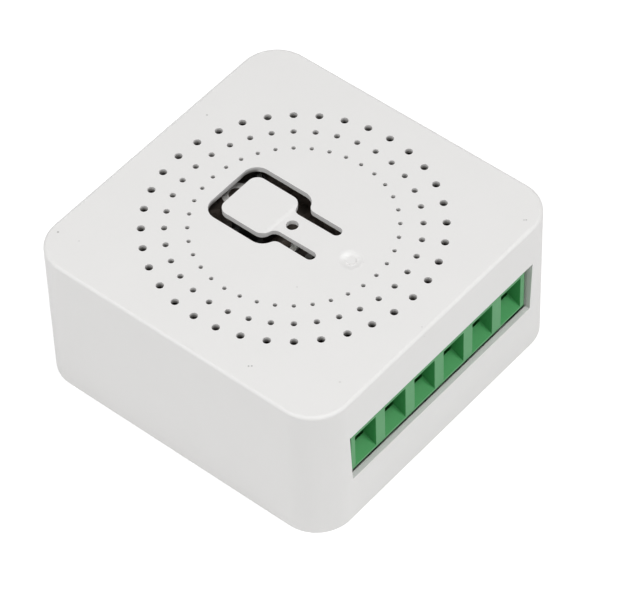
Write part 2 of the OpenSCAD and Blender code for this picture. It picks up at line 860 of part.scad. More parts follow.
module clamp_screw(i) {
    tip = bar_z - rest_clear;
    color([0.72, 0.72, 0.70])
        translate([pole_x(i), screw_y, 0])
            difference() {
                union() {
                    translate([0, 0, head_z]) cylinder(d = screw_head_d, h = screw_head_h);
                    translate([0, 0, head_z]) cylinder(d = screw_d, h = tip - head_z);
                }
                for (turn = [0, 90])
                    translate([0, 0, head_z])
                        rotate(turn)
                            cube([cross_share * screw_head_d, screw_cross_w, 2 * screw_cross_depth],
                                center = true);
            }
}

module clamp_cage(i) {
    bore = screw_d + 2 * thread_clear;
    color([0.70, 0.70, 0.66])
        translate([pole_x(i), bay_y + wall_clear, cage_z])
            difference() {
                translate([-cage_w / 2, 0, 0]) cube([cage_w, cage_depth, cage_h]);
                translate([cage_cheek_t - cage_w / 2, -over, cage_foot_t])
                    cube([cage_w - 2 * cage_cheek_t, cage_depth + 2 * over, jaw_z - cage_z - cage_foot_t]);
                translate([0, cage_depth / 2, -over]) cylinder(d = bore, h = cage_foot_t + 2 * over);
            }
}

// Relay

module relay_case() {
    color([0.13, 0.13, 0.14]) in_relay()
        difference() {
            rounded_slab(relay_len, relay_w, relay_corner_r, relay_h);
            translate([relay_wall - relay_len / 2, relay_wall - relay_w / 2, -over])
                cube([relay_len - 2 * relay_wall, relay_w - 2 * relay_wall, relay_h - relay_wall + over]);
        }
}

module relay_base() {
    w = relay_len - 2 * relay_wall - 2 * bar_clear;
    d = relay_w - 2 * relay_wall - 2 * bar_clear;
    color([0.18, 0.18, 0.19]) in_relay()
        difference() {
            translate([-w / 2, -d / 2, 0]) cube([w, d, relay_base_t]);
            span([blade_x - bar_clear, -blade_w / 2 - bar_clear, -over],
                [relay_len, blade_w / 2 + bar_clear, relay_base_t + over]);
            span([yoke_x - bar_clear, -pin_w / 2 - bar_clear, -over],
                [yoke_x + blade_t + bar_clear, pin_w / 2 + bar_clear, relay_base_t + over]);
            for (s = [-1, 1])
                translate([coil_pin_x, s * coil_pin_y, -over])
                    cylinder(d = lead_d + 2 * bar_clear, h = relay_base_t + 2 * over);
        }
}

module coil_bobbin() {
    color([0.82, 0.80, 0.72]) in_relay()
        translate([coil_x, 0, coil_z])
            rotate_extrude()
                polygon([
                    [core_r + seam_clear, 0],
                    [bobbin_r, 0],
                    [bobbin_r, flange_t],
                    [core_r + bobbin_wall, flange_t],
                    [core_r + bobbin_wall, bobbin_h - flange_t],
                    [bobbin_r, bobbin_h - flange_t],
                    [bobbin_r, bobbin_h],
                    [core_r + seam_clear, bobbin_h]
                ]);
}

module coil_winding() {
    color([0.62, 0.33, 0.16]) in_relay()
        translate([coil_x, 0, coil_z + flange_t + seam_clear])
            difference() {
                cylinder(r = bobbin_r - winding_inset, h = bobbin_h - 2 * flange_t - 2 * seam_clear);
                translate([0, 0, -over])
                    cylinder(r = core_r + bobbin_wall + seam_clear, h = bobbin_h + over);
            }
}

module coil_core() {
    color([0.60, 0.60, 0.60]) in_relay()
        translate([coil_x, 0, relay_base_t + bar_clear]) {
            cylinder(r = core_r, h = pole_z - relay_base_t);
            translate([0, 0, pole_z - relay_base_t - bar_clear + seam_clear])
                cylinder(r = 2 * core_r, h = pole_head_t - seam_clear);
        }
}

module relay_yoke() {
    color([0.58, 0.58, 0.57]) in_relay()
        difference() {
            union() {
                span([yoke_x, -yoke_w / 2, relay_base_t], [coil_x + 2 * core_r, yoke_w / 2, coil_z]);
                span([yoke_x, -yoke_w / 2, relay_base_t],
                    [yoke_x + yoke_t, yoke_w / 2, hinge_z - hole_clear]);
            }
            translate([coil_x, 0, relay_base_t - over])
                cylinder(r = core_r + seam_clear, h = yoke_t + 2 * over);
        }
}

module relay_armature() {
    color([0.62, 0.62, 0.61]) in_relay() with_armature()
        span([yoke_x, -yoke_w / 2, hinge_z], [coil_x + 2 * core_r, yoke_w / 2, hinge_z + armature_t]);
}

module contact_spring() {
    foot = hinge_z + armature_t;
    color([0.76, 0.58, 0.34]) in_relay() with_armature()
        span([yoke_x + yoke_t, -contact_r - spring_margin, foot],
            [spring_end, contact_r + spring_margin, foot + spring_t]);
}

module moving_contact() {
    color([0.85, 0.84, 0.80]) in_relay() with_armature()
        translate([contact_x, 0, contact_z + bar_clear])
            cylinder(r = contact_r, h = hinge_z + armature_t - contact_z - bar_clear);
}

module fixed_contact() {
    shelf_top = contact_z - contact_h;
    color([0.72, 0.50, 0.28]) in_relay() {
        span([blade_x, -blade_w / 2, 0], [blade_x + blade_t, blade_w / 2, shelf_top]);
        span([blade_x, -pin_w / 2, -pin_reach], [blade_x + blade_t, pin_w / 2, 0]);
        span([contact_x - contact_r, -blade_w / 2, shelf_top - blade_t],
            [blade_x + blade_t, blade_w / 2, shelf_top]);
        translate([contact_x, 0, shelf_top]) cylinder(r = contact_r, h = contact_h);
    }
}

module relay_pins() {
    color([0.75, 0.75, 0.73]) in_relay() {
        span([yoke_x, -pin_w / 2, -pin_reach], [yoke_x + blade_t, pin_w / 2, relay_base_t]);
        for (s = [-1, 1])
            translate([coil_pin_x, s * coil_pin_y, -pin_reach])
                cylinder(d = lead_d, h = pin_reach + relay_base_t + yoke_t);
    }
}

// Key switch and indicator, on the board under the key

module switch_body() {
    color([0.10, 0.10, 0.10])
        translate([0, key_y, board_top])
            difference() {
                translate([-switch_side / 2, -switch_side / 2, 0])
                    cube([switch_side, switch_side, switch_h]);
                translate([0, 0, well_z - board_top])
                    cylinder(d = plunger_flange_d + 2 * rest_clear, h = switch_h);
            }
}

module switch_frame() {
    color([0.80, 0.80, 0.80])
        translate([0, key_y, board_top + switch_h])
            difference() {
                translate([-switch_side / 2, -switch_side / 2, 0])
                    cube([switch_side, switch_side, switch_frame_t]);
                translate([0, 0, -over])
                    cylinder(d = plunger_d + 2 * rest_clear, h = switch_frame_t + 2 * over);
            }
}

module switch_dome() {
    color([0.83, 0.82, 0.78])
        translate([0, key_y, well_z])
            cylinder(d1 = plunger_flange_d, d2 = plunger_flange_d / 2, h = dome_h);
}

module switch_plunger() {
    stem_h = plunger_flange_t + bar_clear + switch_frame_t + plunger_rise;
    color([0.15, 0.15, 0.15])
        translate([0, key_y, flange_z]) {
            cylinder(d = plunger_flange_d, h = plunger_flange_t);
            cylinder(d = plunger_d, h = stem_h);
        }
}

module switch_leads() {
    color([0.80, 0.80, 0.80])
        for (sx = [-1, 1], sy = [-1, 1])
            translate([
                sx * (switch_side + switch_lead[0]) / 2,
                key_y + sy * switch_side * switch_lead_share,
                board_top + switch_lead[2] / 2
            ])
                cube(switch_lead, center = true);
}

module indicator_light() {
    color([0.85, 0.85, 0.82])
        translate([-light_len / 2, light_mid_y - light_w / 2, board_top])
            cube([light_len, light_w, light_h / 2]);
}

module light_lens() {
    color([0.75, 0.85, 0.78])
        translate([-light_len * lens_share / 2, light_mid_y - light_w / 2, board_top + light_h / 2])
            cube([light_len * lens_share, light_w, light_h / 2]);
}

// Supply and radio parts under the board

// A rounded can that hangs from the board, with a grooved neck near its crimped end
module can(x, d) {
    translate([x, cap_y, board_z])
        rotate([180, 0, 0])
            rotate_extrude()
                polygon([
                    [0, 0],
                    [d / 2 - can_edge, 0],
                    [d / 2, can_edge],
                    [d / 2, can_groove - can_edge],
                    [d / 2 - can_edge, can_groove],
                    [d / 2, can_groove + can_edge],
                    [d / 2, cap_h - can_edge],
                    [d / 2 - can_edge, cap_h],
                    [0, cap_h]
                ]);
}

module input_capacitor() {
    color([0.12, 0.14, 0.22]) can(input_cap_x, input_cap_d);
}

module output_capacitor() {
    color([0.12, 0.14, 0.22]) can(output_cap_x, output_cap_d);
}

module film_capacitor() {
    color([0.80, 0.72, 0.22])
        translate([column_a, film_y, board_z - film_h]) cube([film_len, film_w, film_h]);
}

module surge_varistor() {
    color([0.16, 0.30, 0.62])
        translate([column_a + varistor_d / 2, varistor_y, varistor_z])
            rotate([-90, 0, 0])
                cylinder(d = varistor_d, h = varistor_t);
}

module fuse_resistor() {
    color([0.30, 0.45, 0.35])
        translate([column_a + fuse_bend, fuse_y + fuse_d / 2, fuse_z])
            rotate([0, 90, 0])
                rotate_extrude()
                    polygon([
                        [0, 0],
                        [fuse_d / 2, 0],
                        [fuse_d / 2, fuse_len * fuse_cap_share],
                        [fuse_waist_r, fuse_len * fuse_waist_share],
                        [fuse_waist_r, fuse_len * (1 - fuse_waist_share)],
                        [fuse_d / 2, fuse_len * (1 - fuse_cap_share)],
                        [fuse_d / 2, fuse_len],
                        [0, fuse_len]
                    ]);
}

module choke_core() {
    color([0.20, 0.20, 0.21])
        translate([column_b + choke_d / 2, choke_y + choke_d / 2, board_z - choke_h])
            rotate_extrude()
                polygon([
                    [0, 0],
                    [choke_d / 2, 0],
                    [choke_d / 2, flange_t],
                    [choke_d / 4, flange_t],
                    [choke_d / 4, choke_h - flange_t],
                    [choke_d / 2, choke_h - flange_t],
                    [choke_d / 2, choke_h],
                    [0, choke_h]
                ]);
}

module choke_winding() {
    color([0.64, 0.34, 0.16])
        translate([column_b + choke_d / 2, choke_y + choke_d / 2, board_z - choke_h + flange_t + seam_clear])
            difference() {
                cylinder(r = choke_d / 2 - choke_inset, h = choke_h - 2 * flange_t - 2 * seam_clear);
                translate([0, 0, -over]) cylinder(r = choke_d / 4 + seam_clear, h = choke_h + over);
            }
}

module bridge_rectifier() {
    color([0.10, 0.10, 0.11])
        translate([column_b, rectifier_y, board_z - rectifier_h])
            cube([rectifier_w, chip_len, rectifier_h]);
}

module converter_chip() {
    color([0.11, 0.11, 0.12])
        translate([column_b, chip_y, board_z - chip_h]) cube([chip_w, chip_len, chip_h]);
}

// Flat legs along both sides of a chip, soldered to the board's underside
module leg_rows(y, width, count) {
    reach = part_gap / 2;
    for (x = [column_b - reach, column_b + width], k = [0.5 : count - 0.5])
        translate([x, y + chip_len * k / count - chip_leg_w / 2, board_z - chip_leg_t])
            cube([reach, chip_leg_w, chip_leg_t]);
}

module chip_legs() {
    color([0.78, 0.78, 0.77]) {
        leg_rows(chip_y, chip_w, chip_leg_count);
        leg_rows(rectifier_y, rectifier_w, rectifier_leg_count);
    }
}

module radio_board() {
    color([0.08, 0.22, 0.14])
        translate([column_c, radio_y, board_z - radio_t]) cube([radio_w, radio_len, radio_t]);
}

module radio_shield() {
    color([0.80, 0.80, 0.79])
        translate([column_c + shield_rim, radio_y + shield_front, board_z - radio_t - shield_h])
            cube([shield_w, shield_len, shield_h]);
}

upper_case();
push_key();
base_cover();
main_board();
terminal_housing();
terminal_pins();
for (i = poles) clamp_screw(i);
for (i = poles) clamp_cage(i);
relay_case();
relay_base();
coil_bobbin();
coil_winding();
coil_core();
relay_yoke();
relay_armature();
contact_spring();
moving_contact();
fixed_contact();
relay_pins();
switch_body();
switch_frame();
switch_dome();
switch_plunger();
switch_leads();
indicator_light();
light_lens();
input_capacitor();
output_capacitor();
film_capacitor();
surge_varistor();
fuse_resistor();
choke_core();
choke_winding();
bridge_rectifier();
converter_chip();
chip_legs();
radio_board();
radio_shield();
chip_parts();
component_leads();
solder_joints();
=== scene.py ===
# %% [markdown]
# A smart relay module, photographed on a light table. The object is a white moulded box, 41 mm square and
# 19.3 mm high, with a press key cut out of its lid, three rings of vent holes, and a green terminal block
# set into one wall. Every rigid form comes from the CAD frame, so this lesson is about dressing it: soft
# edges, finishes, the thin skin at the key's root, a studio, and a camera that stands where the
# photographer stood.

import json
import math

import bmesh
import bpy
from mathutils import Matrix, Vector


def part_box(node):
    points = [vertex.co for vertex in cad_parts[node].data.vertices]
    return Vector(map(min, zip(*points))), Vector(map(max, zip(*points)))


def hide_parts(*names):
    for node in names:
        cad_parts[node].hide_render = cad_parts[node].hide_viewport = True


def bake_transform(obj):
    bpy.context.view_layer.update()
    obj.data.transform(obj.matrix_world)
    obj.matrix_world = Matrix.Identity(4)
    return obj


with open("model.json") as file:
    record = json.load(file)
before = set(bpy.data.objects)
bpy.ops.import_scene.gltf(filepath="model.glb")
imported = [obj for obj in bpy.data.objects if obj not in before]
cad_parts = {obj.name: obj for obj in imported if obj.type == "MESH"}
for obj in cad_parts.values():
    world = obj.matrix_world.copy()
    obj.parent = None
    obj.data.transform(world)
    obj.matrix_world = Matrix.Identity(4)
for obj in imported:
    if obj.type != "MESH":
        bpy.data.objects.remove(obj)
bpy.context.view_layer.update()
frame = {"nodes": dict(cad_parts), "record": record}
nodes = frame["nodes"]
MM = 0.001

# %% Measure the case, the key and the board
lid_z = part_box("upper_case")[1][2]
neck_root_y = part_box("push_key")[0][1]
board_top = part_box("main_board")[1][2]
print("lid at", round(lid_z / MM, 2), "mm, neck root at y", round(neck_root_y / MM, 2), "mm")

# %% [markdown]
# The photograph was taken with a long lens from above the corner between the terminal wall and its left
# neighbour. A camera is easiest to reason about as a heading round the object, a height angle, a small
# roll and a distance from the point it aims at. A long lens from far away keeps upright edges nearly
# parallel.

# %% Place the camera
VIEW_HEADING = math.radians(48.821)
VIEW_HEIGHT = math.radians(48.868)
VIEW_ROLL = math.radians(-1.981)
VIEW_DISTANCE = 423.6 * MM
VIEW_LENS = 218.53
VIEW_AIM = (-0.176 * MM, -3.405 * MM)
SENSOR_WIDTH = 36
NEAREST_SEEN = 10 * MM
aim = Vector(VIEW_AIM + (lid_z / 2,))
toward = Vector((-math.sin(VIEW_HEADING) * math.cos(VIEW_HEIGHT),
                 -math.cos(VIEW_HEADING) * math.cos(VIEW_HEIGHT),
                 math.sin(VIEW_HEIGHT)))
camera_data = bpy.data.cameras.new("portrait_camera")
camera_data.sensor_width = SENSOR_WIDTH
camera_data.lens = VIEW_LENS
camera_data.clip_start = NEAREST_SEEN
camera = bpy.data.objects.new("portrait_camera", camera_data)
bpy.context.scene.collection.objects.link(camera)
turn = toward.to_track_quat("Z", "Y").to_matrix() @ Matrix.Rotation(VIEW_ROLL, 3, "Z")
camera.matrix_world = Matrix.Translation(aim + toward * VIEW_DISTANCE) @ turn.to_4x4()
bpy.context.scene.camera = camera
print("camera at", [round(value / MM, 1) for value in camera.matrix_world.translation], "mm")

# %% [markdown]
# Node trees are wordy in Python. A few helpers keep the finishes short: they add a calculation, a smooth
# ramp, a mix of two colours or a noise. An input may be a number or another socket.

# %% Helpers for node trees
def feed(tree, socket, value):
    if isinstance(value, bpy.types.NodeSocket):
        tree.links.new(value, socket)
    elif value is not None:
        socket.default_value = value


def maths(tree, operation, first, second=None, third=None):
    step = tree.nodes.new("ShaderNodeMath")
    step.operation = operation
    for socket, value in zip(step.inputs, (first, second, third)):
        feed(tree, socket, value)
    return step.outputs[0]


def vectors(tree, operation, first, second=None, scale=None):
    step = tree.nodes.new("ShaderNodeVectorMath")
    step.operation = operation
    feed(tree, step.inputs[0], first)
    feed(tree, step.inputs[1], second)
    feed(tree, step.inputs[3], scale)
    return step.outputs[1 if operation in ("DOT_PRODUCT", "LENGTH") else 0]


def ramp(tree, value, low, high, out_low=0.0, out_high=1.0):
    step = tree.nodes.new("ShaderNodeMapRange")
    step.interpolation_type = "SMOOTHSTEP"
    for socket, given in zip(step.inputs, (value, low, high, out_low, out_high)):
        feed(tree, socket, given)
    return step.outputs[0]


def tint(tree, factor, first, second):
    step = tree.nodes.new("ShaderNodeMix")
    step.data_type = "RGBA"
    feed(tree, step.inputs["Factor"], factor)
    feed(tree, step.inputs[6], first)
    feed(tree, step.inputs[7], second)
    return step.outputs[2]


def noise(tree, place, per_mm, detail=2.0, roughness=0.5):
    step = tree.nodes.new("ShaderNodeTexNoise")
    feed(tree, step.inputs["Vector"], place)
    feed(tree, step.inputs["Scale"], per_mm)
    step.inputs["Detail"].default_value = detail
    step.inputs["Roughness"].default_value = roughness
    return step.outputs["Fac"]


def millimetres(tree):
    where = tree.nodes.new("ShaderNodeTexCoord")
    return vectors(tree, "SCALE", where.outputs["Object"], scale=1 / MM)


print("node helpers are ready")

# %% [markdown]
# A node group is a small machine with named inputs and outputs, built once and used by many finishes. One
# helper makes the empty machine, with its sockets on the tree's interface. The other places a machine in
# a finish and sets its values.

# %% Helpers for groups
KINDS = {"value": "NodeSocketFloat", "colour": "NodeSocketColor", "vector": "NodeSocketVector"}


def start_group(name, inputs, outputs):
    tree = bpy.data.node_groups.new(name, "ShaderNodeTree")
    for label, kind, default in inputs:
        socket = tree.interface.new_socket(name=label, in_out="INPUT", socket_type=KINDS[kind])
        socket.default_value = default
    for label, kind in outputs:
        tree.interface.new_socket(name=label, in_out="OUTPUT", socket_type=KINDS[kind])
    way_in = tree.nodes.new("NodeGroupInput").outputs
    way_out = tree.nodes.new("NodeGroupOutput").inputs
    print("group", name, "takes", [row[0] for row in inputs], "gives", [row[0] for row in outputs])
    return tree, way_in, way_out


def place_group(tree, group, **values):
    placed = tree.nodes.new("ShaderNodeGroup")
    placed.node_tree = group
    for label, value in values.items():
        feed(tree, placed.inputs[label.replace("_", " ")], value)
    return placed.outputs


print("groups have inputs of the kinds", ", ".join(KINDS))

# %% [markdown]
# Moulded plastic is never one flat colour. The melt leaves broad, very faint clouds, and the tool's spark
# eroded face leaves a fine satin grain. The group varies the colour with the clouds, the gloss with a
# middle noise, and gives the grain as a height for the bump.

# %% Group: moulded surface
NOISE_MIDDLE = 0.5
CLOUDS_PER_MM = 0.16
PATCHES_PER_MM = 0.9
GRAIN_SHARE = 0.5
moulded_surface, given, made = start_group(
    "moulded_surface",
    [("Colour", "colour", (0.8, 0.8, 0.8, 1)), ("Mottle", "value", 0.03), ("Grain per mm", "value", 6.0),
     ("Roughness", "value", 0.45), ("Gloss change", "value", 0.12)],
    [("Colour", "colour"), ("Roughness", "value"), ("Height", "value")])
place = millimetres(moulded_surface)
clouds = noise(moulded_surface, place, CLOUDS_PER_MM, detail=4, roughness=0.6)
patches = noise(moulded_surface, place, PATCHES_PER_MM, detail=3)
grain = noise(moulded_surface, place, given["Grain per mm"], detail=3, roughness=0.65)
both = maths(moulded_surface, "MULTIPLY_ADD", grain, GRAIN_SHARE, clouds)
both_middle = NOISE_MIDDLE * GRAIN_SHARE + NOISE_MIDDLE
shade = maths(moulded_surface, "MULTIPLY_ADD", maths(moulded_surface, "SUBTRACT", both, both_middle),
              given["Mottle"], 1.0)
moulded_surface.links.new(vectors(moulded_surface, "SCALE", given["Colour"], scale=shade), made["Colour"])
swing = maths(moulded_surface, "MULTIPLY", maths(moulded_surface, "SUBTRACT", patches, NOISE_MIDDLE),
              given["Gloss change"])
moulded_surface.links.new(maths(moulded_surface, "ADD", given["Roughness"], swing), made["Roughness"])
moulded_surface.links.new(grain, made["Height"])

# %% [markdown]
# Edges are the first place that hands and tools rub. The Bevel node gives the normal that a rounded edge
# would have, so where it departs from the surface's own normal there is an edge. A noise breaks the mask
# up. On the terminal block the same mask tints the edges paler, which is a painted highlight.

# %% Group: rubbed edge, also the mask of a painted highlight
FLAT_MATCH = 0.995
EDGE_MATCH = 0.8
BREAKUP_LOW = 0.25
BREAKUP_HIGH = 0.65
edge_wear_and_highlight, given, made = start_group(
    "edge_wear_and_highlight",
    [("Reach", "value", 0.15 * MM), ("Breakup per mm", "value", 1.5)],
    [("Mask", "value")])
bevel = edge_wear_and_highlight.nodes.new("ShaderNodeBevel")
bevel.samples = 4
edge_wear_and_highlight.links.new(given["Reach"], bevel.inputs["Radius"])
facing = edge_wear_and_highlight.nodes.new("ShaderNodeNewGeometry")
match = vectors(edge_wear_and_highlight, "DOT_PRODUCT", bevel.outputs["Normal"], facing.outputs["Normal"])
edge = ramp(edge_wear_and_highlight, match, FLAT_MATCH, EDGE_MATCH)
breakup = noise(edge_wear_and_highlight, millimetres(edge_wear_and_highlight), given["Breakup per mm"], detail=3)
broken = ramp(edge_wear_and_highlight, breakup, BREAKUP_LOW, BREAKUP_HIGH)
edge_wear_and_highlight.links.new(maths(edge_wear_and_highlight, "MULTIPLY", edge, broken), made["Mask"])

# %% [markdown]
# Dust and tiny dark inclusions are scattered and rare. A Voronoi pattern gives every cell one point: the
# cell's random colour decides whether there is a speck and how large it is, and the distance to the point
# draws it.

# %% Group: stray specks
SMALLEST_SPECK = 0.4
SPECK_CORE = 0.5
stray_specks, given, made = start_group(
    "stray_specks",
    [("Cells per mm", "value", 0.5), ("Share", "value", 0.1), ("Size", "value", 0.08)],
    [("Mask", "value")])
cells = stray_specks.nodes.new("ShaderNodeTexVoronoi")
stray_specks.links.new(millimetres(stray_specks), cells.inputs["Vector"])
stray_specks.links.new(given["Cells per mm"], cells.inputs["Scale"])
parts = stray_specks.nodes.new("ShaderNodeSeparateColor")
stray_specks.links.new(cells.outputs["Color"], parts.inputs["Color"])
chosen = maths(stray_specks, "LESS_THAN", parts.outputs[0], given["Share"])
grown = maths(stray_specks, "ADD", parts.outputs[1], SMALLEST_SPECK)
reach = maths(stray_specks, "MULTIPLY", grown, given["Size"])
dot = ramp(stray_specks, maths(stray_specks, "DIVIDE", cells.outputs["Distance"], reach), 1.0, SPECK_CORE)
stray_specks.links.new(maths(stray_specks, "MULTIPLY", dot, chosen), made["Mask"])

# %% [markdown]
# Some marks have a known place: a speck, a scratch, a printed ring. This group draws one soft disc round a
# point given in millimetres. Stretch squeezes the disc along an axis, so it can also be an oval.

# %% Group: mark at a place
mark_at, given, made = start_group(
    "mark_at",
    [("Place", "vector", (0, 0, 0)), ("Stretch", "vector", (1, 1, 1)), ("Radius", "value", 0.2),
     ("Softness", "value", 0.5)],
    [("Mask", "value")])
away = vectors(mark_at, "MULTIPLY", vectors(mark_at, "SUBTRACT", millimetres(mark_at), given["Place"]),
               given["Stretch"])
spread = maths(mark_at, "DIVIDE", vectors(mark_at, "LENGTH", away), given["Radius"])
inner = maths(mark_at, "SUBTRACT", 1.0, given["Softness"])
mark_at.links.new(ramp(mark_at, spread, 1.0, inner), made["Mask"])

# %% [markdown]
# Stamped and drawn metal has fine lines along the direction it was worked. Stretching a noise along one
# axis makes them. The lines vary the brightness a little, and broader stains vary the brightness and the
# gloss, as plating does.

# %% Group: drawn metal
STAINS_PER_MM = 0.7
LINE_SHARE = 0.2
STAINED_SHADE = 0.74
CLEAN_SHADE = 0.9
drawn_metal, given, made = start_group(
    "drawn_metal",
    [("Colour", "colour", (0.7, 0.7, 0.7, 1)), ("Lines per mm", "vector", (1.0, 8.0, 8.0)),
     ("Roughness", "value", 0.3), ("Gloss change", "value", 0.2)],
    [("Colour", "colour"), ("Roughness", "value"), ("Height", "value")])
place = millimetres(drawn_metal)
lines = noise(drawn_metal, vectors(drawn_metal, "MULTIPLY", place, given["Lines per mm"]), 1.0, detail=3)
stain = noise(drawn_metal, place, STAINS_PER_MM, detail=4, roughness=0.6)
stain_shade = ramp(drawn_metal, stain, 0.2, 0.7, STAINED_SHADE, CLEAN_SHADE)
shade = maths(drawn_metal, "MULTIPLY_ADD", lines, LINE_SHARE, stain_shade)
drawn_metal.links.new(vectors(drawn_metal, "SCALE", given["Colour"], scale=shade), made["Colour"])
swing = maths(drawn_metal, "MULTIPLY", maths(drawn_metal, "SUBTRACT", stain, NOISE_MIDDLE),
              given["Gloss change"])
drawn_metal.links.new(maths(drawn_metal, "ADD", given["Roughness"], swing), made["Roughness"])
drawn_metal.links.new(lines, made["Height"])

# %% [markdown]
# The board and the radio board have copper lanes under their lacquer, which show as a faint relief. A
# sine of the distance to the nearest point of a Voronoi pattern draws lanes of a roughly even width.

# %% Group: lacquered lanes
BLOCKS_PER_MM = 0.35
lacquered_lanes, given, made = start_group(
    "lacquered_lanes", [("Swing per block", "value", 16.0)], [("Lane", "value")])
place = millimetres(lacquered_lanes)
blocks = lacquered_lanes.nodes.new("ShaderNodeTexVoronoi")
blocks.distance = "MANHATTAN"
blocks.feature = "SMOOTH_F1"
lacquered_lanes.links.new(place, blocks.inputs["Vector"])
blocks.inputs["Scale"].default_value = BLOCKS_PER_MM
swing = maths(lacquered_lanes, "MULTIPLY", blocks.outputs["Distance"], given["Swing per block"])
wave = maths(lacquered_lanes, "SINE", swing)
lacquered_lanes.links.new(ramp(lacquered_lanes, wave, -0.1, 0.25), made["Lane"])

# %% [markdown]
# Every finish ends the same way: a Principled shader, and a bump whose depth is a real depth in
# millimetres.

# %% Helpers for finishes
finishes = {}


def start_finish(name):
    finish = bpy.data.materials.new(name)
    finish.use_nodes = True
    finishes[name] = finish
    return finish.node_tree, finish.node_tree.nodes["Principled BSDF"].inputs


def relief(tree, surface, height, depth_mm):
    bump = tree.nodes.new("ShaderNodeBump")
    bump.inputs["Distance"].default_value = depth_mm * MM
    tree.links.new(height, bump.inputs["Height"])
    tree.links.new(bump.outputs["Normal"], surface["Normal"])


print("finish helpers are ready")

# %% [markdown]
# The white case is a satin plastic, slightly warm. Up close it has a few dark specks, and its edges are a
# little more polished than its faces. Marks with a known place are drawn with the group made for them:
# specks on the lid, a scratch over its front edge, and a paler disc over the gate where the melt entered
# the mould, which is a painted highlight. A lid mark is x, y and radius in millimetres, and a strength. A
# point of the scratch is x, y and the depth below the lid.

# %% Finish: case plastic
CASE_COLOUR = (0.80, 0.793, 0.783, 1)
SPECK_COLOUR = (0.16, 0.15, 0.14, 1)
GATE_HIGHLIGHT = (0.93, 0.93, 0.92, 1)
GATE_PLACE = (0.15, -7.1)
GATE_RADIUS = 0.75
GATE_STRETCH = (0.75, 1, 1)
GATE_STRENGTH = 0.8
SCRATCH_RADIUS = 0.13
SCRATCH_STRENGTH = 0.3
POLISH = -0.1
LID_MARKS = [
    (-16.59, 19.31, 0.18, 0.60), (6.68, 18.13, 0.18, 0.45), (-18.17, -9.05, 0.15, 0.60),
    (-17.95, -9.30, 0.15, 0.60), (16.08, -18.94, 0.14, 0.45), (16.24, -19.12, 0.15, 0.50),
    (-13.88, -17.90, 0.20, 0.18), (-6.56, -5.95, 0.14, 0.25), (-16.14, 16.66, 0.15, 0.20),
]
SCRATCH = [(-2.65, -19.85, 0.03), (-2.80, -20.00, 0.10), (-2.92, -20.14, 0.20), (-3.00, -20.26, 0.32),
           (-3.06, -20.36, 0.48), (-3.10, -20.44, 0.66)]
tree, surface = start_finish("case_plastic")
skin = place_group(tree, moulded_surface, Colour=CASE_COLOUR, Mottle=0.03, Grain_per_mm=5.0,
                   Roughness=0.5, Gloss_change=0.14)
specks = place_group(tree, stray_specks, Cells_per_mm=0.22, Share=0.12, Size=0.035)["Mask"]
for x, y, radius, strength in LID_MARKS:
    mark = place_group(tree, mark_at, Place=(x, y, lid_z / MM), Radius=radius, Softness=0.8)["Mask"]
    specks = maths(tree, "MAXIMUM", specks, maths(tree, "MULTIPLY", mark, strength))
for x, y, below in SCRATCH:
    mark = place_group(tree, mark_at, Place=(x, y, lid_z / MM - below), Radius=SCRATCH_RADIUS,
                       Softness=0.8)["Mask"]
    specks = maths(tree, "MAXIMUM", specks, maths(tree, "MULTIPLY", mark, SCRATCH_STRENGTH))
# Painted highlight: a paler disc over the gate mark.
gate_highlight_mask = place_group(tree, mark_at, Place=GATE_PLACE + (lid_z / MM,), Stretch=GATE_STRETCH,
                       Radius=GATE_RADIUS, Softness=0.9)["Mask"]
pale = tint(tree, maths(tree, "MULTIPLY", gate_highlight_mask, GATE_STRENGTH), skin["Colour"], GATE_HIGHLIGHT)
wear_and_highlight_mask = place_group(tree, edge_wear_and_highlight, Reach=0.12 * MM, Breakup_per_mm=0.8)["Mask"]
tree.links.new(maths(tree, "MULTIPLY_ADD", wear_and_highlight_mask, POLISH, skin["Roughness"]), surface["Roughness"])
surface["IOR"].default_value = 1.52
relief(tree, surface, skin["Height"], 0.004)
print("case_plastic has", len(LID_MARKS), "marks on the lid and a scratch of", len(SCRATCH), "points")

# %% [markdown]
# Painted shade darkens the walls of the vents: the colour darkens below the lid, where the holes fall
# into shade. The mask is the depth below the lid, kept to the zone of the three rings: two ramps of the
# distance from the middle fence it in.

# %% Finish: painted shade in the vents
VENT_SHADE = (0.22, 0.21, 0.20, 1)
VENT_ZONE = (9.4, 17.6)
ZONE_FADE = 0.3
SHADE_STARTS = 0.08
SHADE_FULL = 0.60
SHADE_STRENGTH = 0.90
place = millimetres(tree)
from_middle = vectors(tree, "LENGTH", vectors(tree, "MULTIPLY", place, (1, 1, 0)))
below_lid = maths(tree, "SUBTRACT", lid_z / MM, vectors(tree, "DOT_PRODUCT", place, (0, 0, 1)))
zone = maths(tree, "MULTIPLY", ramp(tree, from_middle, VENT_ZONE[0], VENT_ZONE[0] + ZONE_FADE),
             ramp(tree, from_middle, VENT_ZONE[1], VENT_ZONE[1] - ZONE_FADE))
vent_shade = ramp(tree, below_lid, SHADE_STARTS, SHADE_FULL, 0.0, SHADE_STRENGTH)
# Painted shade: the walls of the vents get a darker base colour below the lid.
shaded = tint(tree, maths(tree, "MULTIPLY", zone, vent_shade), pale, VENT_SHADE)
tree.links.new(tint(tree, specks, shaded, SPECK_COLOUR), surface["Base Color"])
print("dust lies between", VENT_ZONE[0], "and", VENT_ZONE[1], "mm from the middle")
